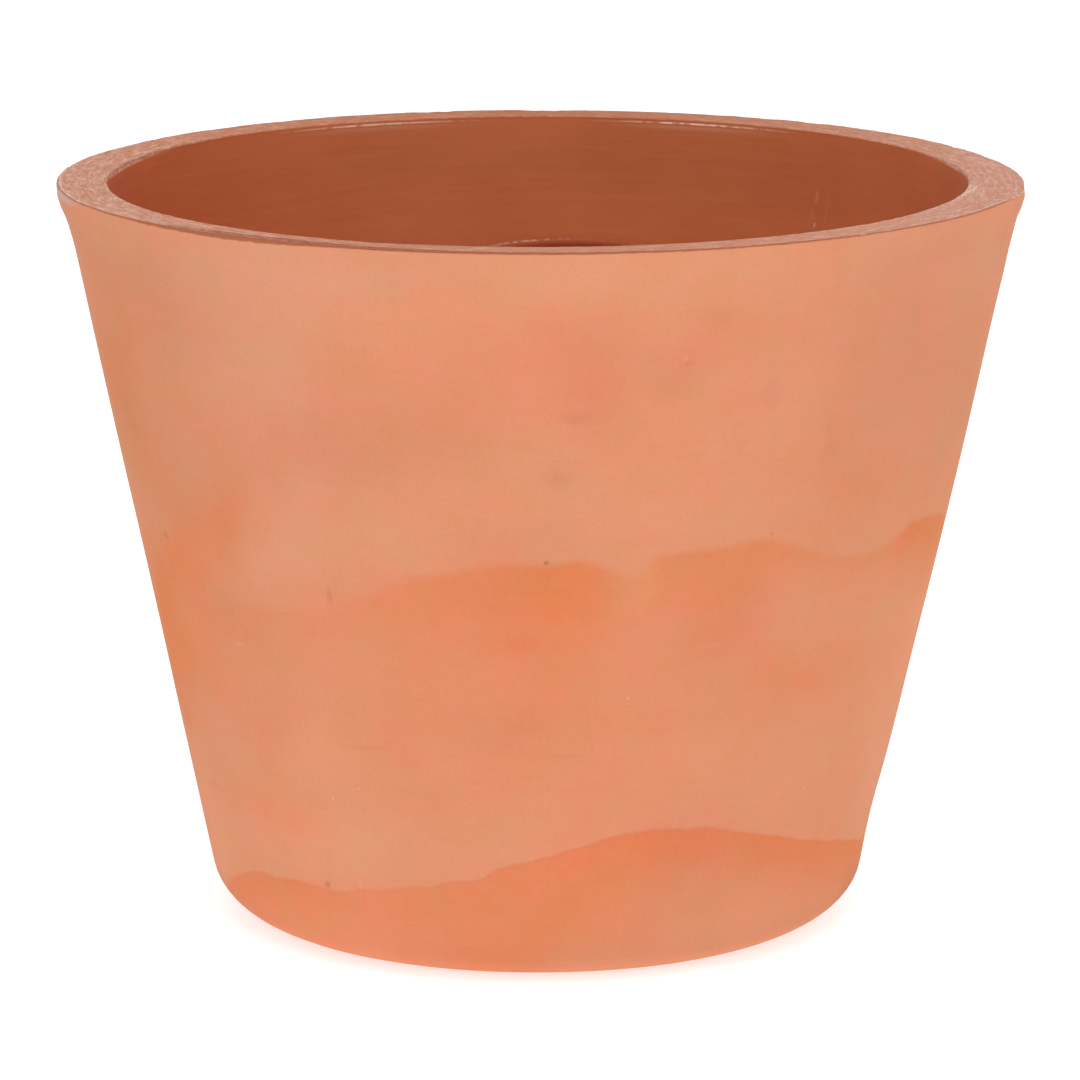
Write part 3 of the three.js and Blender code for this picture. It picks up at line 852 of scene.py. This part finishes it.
def inside_colour(nodes, where, turned):
    """Dark clean clay with faint streaks left by turning, a painted highlight on the bead under the rim, pale
    scratches, and a thumb mark with a painted shadow in its hollow and a painted highlight on its lip.
    """
    streaks = nodes.noise(nodes.vector_math("MULTIPLY", turned, (1.0, 1.0, 2.2)), 20.0, 4.0, 0.6)
    clouds = nodes.noise(where, 26.0, 3.0)
    base = nodes.mix(nodes.step(streaks, 0.5, 0.75, 0.0, 0.4), INSIDE, INSIDE_PALE)
    base = nodes.mix(nodes.step(streaks, 0.5, 0.25, 0.0, 0.4), base, INSIDE_DARK)
    base = nodes.mix(nodes.step(clouds, 0.35, 0.7, 0.0, 0.35), base, INSIDE_PALE)

    # A painted highlight along the bead, strongest at two arcs at the back left and right, with a faint painted halo
    # on the second bead below it
    depth = nodes.parts(nodes.attribute("edges").outputs["Vector"])[0]
    bead = nodes.parts(nodes.attribute("edge_highlights").outputs["Vector"])[2]
    broken = nodes.step(nodes.noise(where, 2.2, 2.0), 0.36, 0.56, 0.2, 1.0)
    base = nodes.mix(nodes.times(nodes.peak(depth, BEAD_DEPTH, 0.32), bead, broken), base, PALE_MARK_AND_HIGHLIGHT)
    second = nodes.times(nodes.peak(depth, SECOND_BEAD_DEPTH, 1.0), bead, 0.12)
    base = nodes.mix(second, base, PALE_MARK_AND_HIGHLIGHT)

    # Painted shadow in the thumb mark's hollow
    at, height, half_width, half_height, _ = THUMB_MARK
    inner_radius = RIM_RADIUS - RIM_THICKNESS - (HEIGHT - height) * WALL_SLOPE
    place = nodes.near(where, at, inner_radius, height, half_width, half_height)
    away = nodes.vector_math("LENGTH", place, (0, 0, 0))
    base = nodes.mix(nodes.step(away, 0.72, 1.04, 0.9, 0.0), base, THUMB_MARK_SHADOW)
    left_part = nodes.peak(nodes.parts(place)[0], 0.45, 0.5)
    for azimuth, mark_height, half_length, strength in INNER_SCRATCHES:
        mark_radius = RIM_RADIUS - RIM_THICKNESS - (HEIGHT - mark_height) * WALL_SLOPE
        mark = nodes.near(where, azimuth, mark_radius, mark_height, 0.45, half_length)
        amount = nodes.step(nodes.vector_math("LENGTH", mark, (0, 0, 0)), 0.2, 1.4, strength, 0.0)
        base = nodes.mix(amount, base, PALE_MARK_AND_HIGHLIGHT)
    # A painted highlight on the thumb mark's lip, stronger on its left part
    dashes = nodes.step(nodes.noise(where, 1.1, 1.0), 0.42, 0.56, 0.1, 1.0)
    lip_highlight = nodes.times(nodes.peak(away, 1.07, 0.08), nodes.add(nodes.times(left_part, 0.42), 0.05), dashes)
    return nodes.mix(lip_highlight, base, PALE_MARK_AND_HIGHLIGHT), streaks


def underside_colour(nodes, where):
    """Cloudy clay, with a paler ring worn on the foot and a pale lime stain round the drain hole."""
    clouds = nodes.noise(where, 14.0, 4.0, 0.6)
    base = nodes.mix(nodes.step(clouds, 0.35, 0.7, 0.0, 0.7), UNDERSIDE, UNDERSIDE_PALE)
    from_axis = nodes.vector_math("LENGTH", nodes.vector_math("MULTIPLY", where, (1.0, 1.0, 0.0)), (0, 0, 0))
    ragged = nodes.add(from_axis, nodes.times(nodes.add(nodes.noise(where, 5.0, 3.0), -0.5), 9.0))
    base = nodes.mix(nodes.peak(ragged, FOOT_RING_RADIUS, 6.0), base, FOOT_WORN)
    base = nodes.mix(nodes.step(ragged, DRAIN_RADIUS, DRAIN_RADIUS + 9.0, 0.45, 0.0), base, BLOOM)
    grit = nodes.step(nodes.noise(where, 0.6, 2.0), 0.3, 0.7, 0.93, 1.07)
    return nodes.mix(1.0, base, grit, blend="MULTIPLY")


def clay_material():
    nodes = Nodes("fired_clay")
    texture = nodes.tree.nodes.new("ShaderNodeTexCoord")
    where = nodes.vector_math("MULTIPLY", texture.outputs["Object"], (1 / MM,) * 3)
    flat = nodes.attribute("around_along").outputs["Vector"]
    turned = nodes.vector_math("MULTIPLY", flat, (1.0, 1.0, 6.0))
    rim, inside, under = nodes.parts(nodes.attribute("zone").outputs["Vector"])
    depth, worn, _ = nodes.parts(nodes.attribute("edges").outputs["Vector"])

    outer = specks(nodes, where, outer_colour(nodes, where, turned))
    rim_look, grain = rim_colour(nodes, where, turned)
    inside_look, streaks = inside_colour(nodes, where, turned)

    # Wear and painted shade on the face just under the rim's outer edge
    edge_noise = nodes.times(nodes.add(nodes.noise(where, 2.2, 3.0), -0.5), 0.6)
    edge_noise = nodes.times(edge_noise, nodes.step(worn, 0.2, 0.8, 0.35, 1.0))
    wear_and_shade = nodes.step(nodes.add(depth, edge_noise), nodes.add(worn, -0.1), nodes.add(worn, 0.15), 1.0, 0.0)
    wear_and_shade = nodes.times(wear_and_shade, nodes.attribute("face_wear_and_shade").outputs["Fac"])
    base = nodes.mix(wear_and_shade, outer, EDGE_WEAR_AND_SHADE)
    base = nodes.mix(nodes.step(nodes.add(rim, inside), 0.7, 1.0), base, rim_look)
    _, soft_depth, soft_strength = nodes.parts(nodes.attribute("rim_wear").outputs["Vector"])
    below_soft = nodes.math("SUBTRACT", nodes.add(depth, edge_noise), soft_depth)
    covered = nodes.times(nodes.step(below_soft, -0.25, 0.2, 1.0, 0.0), soft_strength)
    inner = nodes.step(nodes.add(inside, edge_noise), 0.2, 0.8)
    inner = nodes.times(inner, nodes.math("SUBTRACT", 1.0, covered))
    base = nodes.mix(inner, base, inside_look)
    base = nodes.mix(under, base, underside_colour(nodes, where))
    tint = nodes.attribute("tint").outputs["Vector"]
    nodes.put(nodes.shader.inputs["Base Color"], nodes.mix(1.0, base, tint, blend="MULTIPLY"))

    grit = nodes.noise(where, 0.7, 3.0, 0.6)
    relief = nodes.add(nodes.times(grit, nodes.add(nodes.times(rim, 1.6), 0.4)), nodes.times(grain, rim, 2.0),
                       nodes.times(streaks, inside, 0.6))
    nodes.put(nodes.shader.inputs["Normal"], nodes.bump(relief, 0.12))
    nodes.put(nodes.shader.inputs["Roughness"], nodes.step(grit, 0.3, 0.7, 0.82, 0.95))
    nodes.shader.inputs["Specular IOR Level"].default_value = 0.25
    return nodes.material


# ------------------------------------------------------------------------------- floor and lights

CAMERA_AT = (0.0, -1315.2, 356.6)
CAMERA_DOWN = 11.95  # degrees below the horizon
CAMERA_TURN = 0.017  # degrees to the left
CAMERA_LENS = 214.07

FLOOR_HALF_SIZE = 9.0  # metres
WORLD_LIGHT = 1.0
FLOOR_GLOW = 0.60  # the floor is a light table, so it brightens the foot


def make_floor():
    mesh = bpy.data.meshes.new("floor")
    h = FLOOR_HALF_SIZE
    mesh.from_pydata([(-h, -h, 0), (h, -h, 0), (h, h, 0), (-h, h, 0)], [], [(0, 1, 2, 3)])
    floor = bpy.data.objects.new("floor", mesh)
    bpy.context.scene.collection.objects.link(floor)
    nodes = Nodes("floor_paint")
    nodes.shader.inputs["Base Color"].default_value = colour(200, 200, 200)
    nodes.shader.inputs["Roughness"].default_value = 0.9
    nodes.shader.inputs["Specular IOR Level"].default_value = 0.1
    nodes.shader.inputs["Emission Color"].default_value = (1, 1, 1, 1)
    nodes.shader.inputs["Emission Strength"].default_value = FLOOR_GLOW
    mesh.materials.append(nodes.material)


def make_softbox(name, place, size, power):
    """A square area light that faces the middle of the pot."""
    light = bpy.data.lights.new(name, "AREA")
    light.size = size
    light.energy = power
    softbox = bpy.data.objects.new(name, light)
    softbox.location = place
    toward = Vector((0, 0, HEIGHT * MM / 2)) - Vector(place)
    softbox.rotation_euler = toward.to_track_quat("-Z", "Y").to_euler()
    bpy.context.scene.collection.objects.link(softbox)


def make_world(strength):
    world = bpy.data.worlds.new("studio")
    world.use_nodes = True
    background = world.node_tree.nodes["Background"]
    background.inputs["Color"].default_value = (1, 1, 1, 1)
    background.inputs["Strength"].default_value = strength
    bpy.context.scene.world = world


def make_camera():
    data = bpy.data.cameras.new("camera")
    data.lens = CAMERA_LENS
    camera = bpy.data.objects.new("camera", data)
    camera.location = [v * MM for v in CAMERA_AT]
    camera.rotation_euler = Euler((math.radians(90 - CAMERA_DOWN), 0, math.radians(CAMERA_TURN)))
    data.clip_end = 100
    bpy.context.scene.collection.objects.link(camera)
    bpy.context.scene.camera = camera


# --------------------------------------------------------------------------------------- assembly

pot = make_pot()
pot.data.materials.append(clay_material())
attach(pot, "root")
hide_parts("pot")

make_floor()
make_world(WORLD_LIGHT)
make_softbox("front_softbox", (0.1, -2.0, 1.6), 1.8, 20)
make_softbox("left_fill", (-1.5, -0.9, 0.25), 1.0, 1.5)
make_softbox("right_fill", (1.5, -0.9, 0.25), 1.0, 3)
make_camera()
bpy.context.scene.view_settings.view_transform = "Standard"
